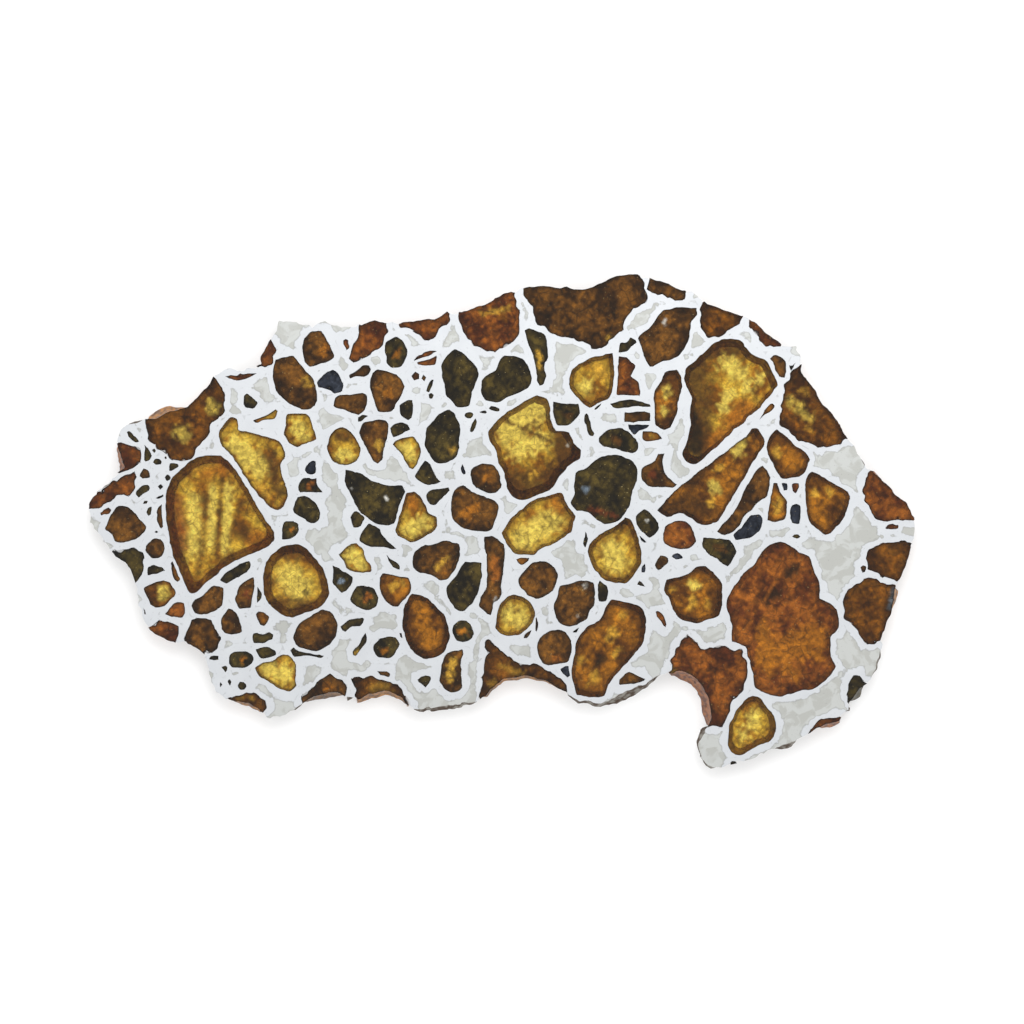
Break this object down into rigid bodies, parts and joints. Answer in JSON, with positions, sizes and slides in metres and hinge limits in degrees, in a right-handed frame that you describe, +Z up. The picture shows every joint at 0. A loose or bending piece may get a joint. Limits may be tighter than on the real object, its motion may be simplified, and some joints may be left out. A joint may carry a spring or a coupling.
{
  "type": "pallasite meteorite slice",
  "caption": "Polished flat slice of stony-iron meteorite: an iron-nickel web full of olivine crystals, with a rough broken rim. It lies flat on either cut face.",
  "frame": {"origin": "centre of the slice's bounds, on the underside it rests on", "axes": "+X along the slice's length, towards its broad end; +Z up through its thickness, out of the polished face in the picture"},
  "size_m": [0.1322, 0.0798, 0.0032],
  "materials": {
    "iron_nickel": "polished iron-nickel, faintly etched",
    "olivine_clear": "polished clear honey-yellow olivine",
    "olivine_amber": "polished amber olivine",
    "olivine_brown": "polished brown olivine, nearly opaque",
    "olivine_dark": "polished dark olive olivine, nearly opaque",
    "olivine_rust": "polished rust-stained olivine, nearly opaque",
    "troilite": "polished bluish-grey iron sulphide"
  },
  "bodies": {
    "root": {"iron_web": "iron_nickel", "olivine_honey_west": "olivine_clear", "olivine_hook_west": "olivine_clear", "olivine_round_west": "olivine_clear", "olivine_yellow_south": "olivine_clear", "olivine_gold_centre": "olivine_clear", "olivine_honey_north": "olivine_clear", "olivine_large_north_east": "olivine_clear", "olivine_yellow_centre": "olivine_clear", "olivine_great_centre": "olivine_clear", "olivine_round_east": "olivine_clear", "olivine_hook_south_east": "olivine_clear", "olivine_amber_south": "olivine_amber", "olivine_long_south": "olivine_amber", "olivine_slim_north_east": "olivine_amber", "olivine_long_east": "olivine_amber", "olivine_amber_east": "olivine_amber", "olivine_wedge_east": "olivine_amber", "olivine_speckled_east": "olivine_amber", "olivine_rim_north_west": "olivine_amber", "olivine_rim_amber_south_west": "olivine_amber", "olivine_rim_arch_south": "olivine_amber", "olivine_rim_bridge_south": "olivine_amber", "olivine_rim_olive_north": "olivine_amber", "olivine_rim_gold_east": "olivine_amber", "olivine_rim_amber_east": "olivine_amber", "olivine_rim_long_east": "olivine_amber", "olivine_brown_north_west": "olivine_brown", "olivine_speckled_south_west": "olivine_brown", "olivine_banded_south": "olivine_brown", "olivine_brown_south": "olivine_brown", "olivine_olive_centre": "olivine_brown", "olivine_brown_north": "olivine_brown", "olivine_bent_east": "olivine_brown", "olivine_rim_brown_south_west": "olivine_brown", "olivine_rim_brown_south": "olivine_brown", "olivine_rim_great_brown": "olivine_brown", "olivine_rim_strip_north": "olivine_brown", "olivine_black_centre": "olivine_dark", "olivine_olive_north": "olivine_dark", "olivine_black_north": "olivine_dark", "olivine_dark_north": "olivine_dark", "olivine_dark_centre": "olivine_dark", "olivine_rim_olive_west": "olivine_dark", "olivine_rim_strip_south_east": "olivine_dark", "olivine_rim_cluster_south_east": "olivine_dark", "olivine_great_south_east": "olivine_rust", "olivine_rim_rust_west": "olivine_rust", "olivine_rim_point_west": "olivine_rust", "olivine_rim_sliver_north": "olivine_rust", "olivine_rim_rust_north": "olivine_rust", "olivine_rim_rust_south_west": "olivine_rust", "olivine_rim_wedge_north": "olivine_rust", "olivine_rim_great_rust": "olivine_rust", "olivine_rim_rust_north_east": "olivine_rust", "olivine_rim_notch_south_east": "olivine_rust", "olivine_rim_rust_east": "olivine_rust", "olivine_rim_rust_south_east": "olivine_rust", "troilite_west": "troilite", "troilite_east": "troilite"}
  },
  "joints": []
}
